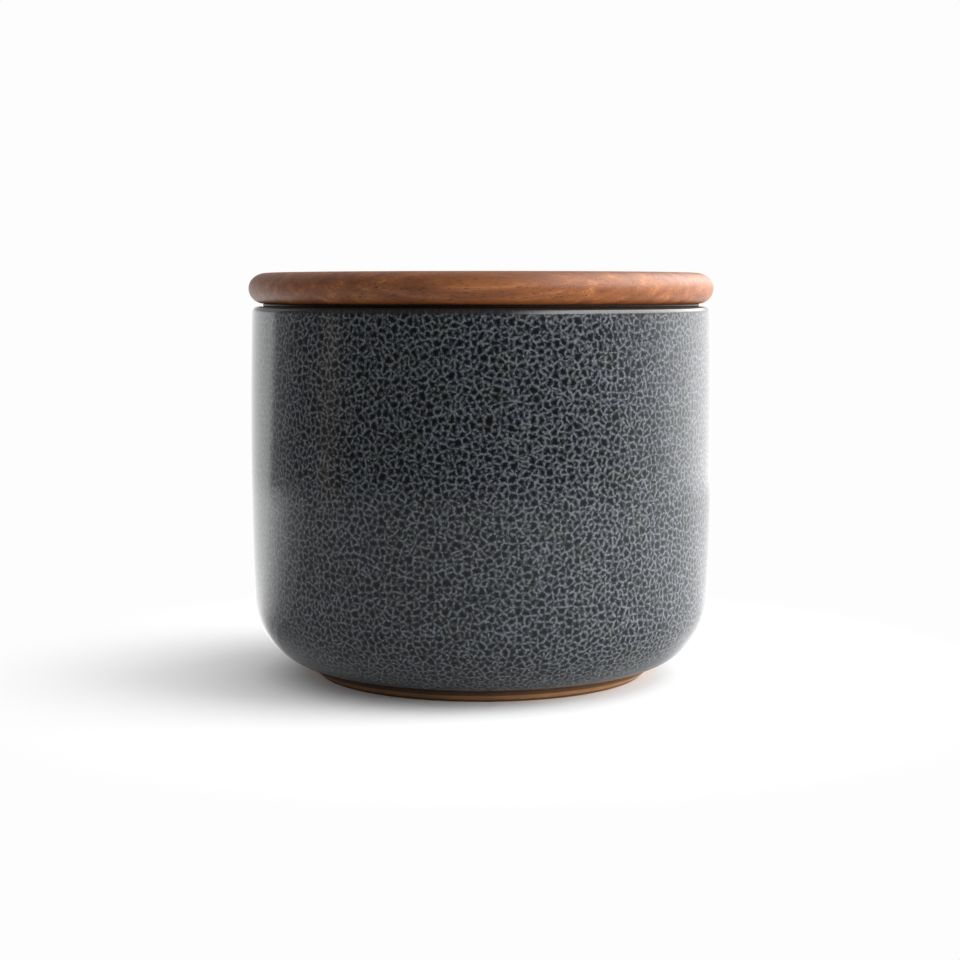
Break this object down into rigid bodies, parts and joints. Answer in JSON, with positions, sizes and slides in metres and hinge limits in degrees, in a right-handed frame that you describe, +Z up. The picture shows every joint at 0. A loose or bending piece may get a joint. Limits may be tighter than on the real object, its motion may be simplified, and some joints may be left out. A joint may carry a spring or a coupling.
{
  "type": "storage jar",
  "caption": "Round glazed stoneware storage jar on a bare turned foot, with a flat soft-edged wooden lid that lifts off and seals the mouth with a lipped silicone ring.",
  "frame": {"origin": "centre of the foot ring, on the surface the jar stands on", "axes": "+Z up along the jar's axis, through the middle of the lid"},
  "size_m": [0.13, 0.13, 0.1127],
  "materials": {
    "clay": "bare fired stoneware, matte",
    "outer_glaze": "gloss reactive glaze, dark slate cells in a fine grey net",
    "liner_glaze": "gloss glaze inside the pot and in the recess under it",
    "wood": "oiled reddish-brown hardwood, satin",
    "silicone": "charcoal food-grade silicone, satin"
  },
  "bodies": {
    "jar": {"jar_body": "clay", "outer_glaze": "outer_glaze", "inner_glaze": "liner_glaze", "base_glaze": "liner_glaze"},
    "lid": {"lid": "wood", "seal_ring": "silicone"}
  },
  "joints": [
    {"name": "lid_lift", "type": "slide", "parent": "jar", "child": "lid", "axis": [0, 0, 1], "range_m": [0, 0.06]}
  ]
}
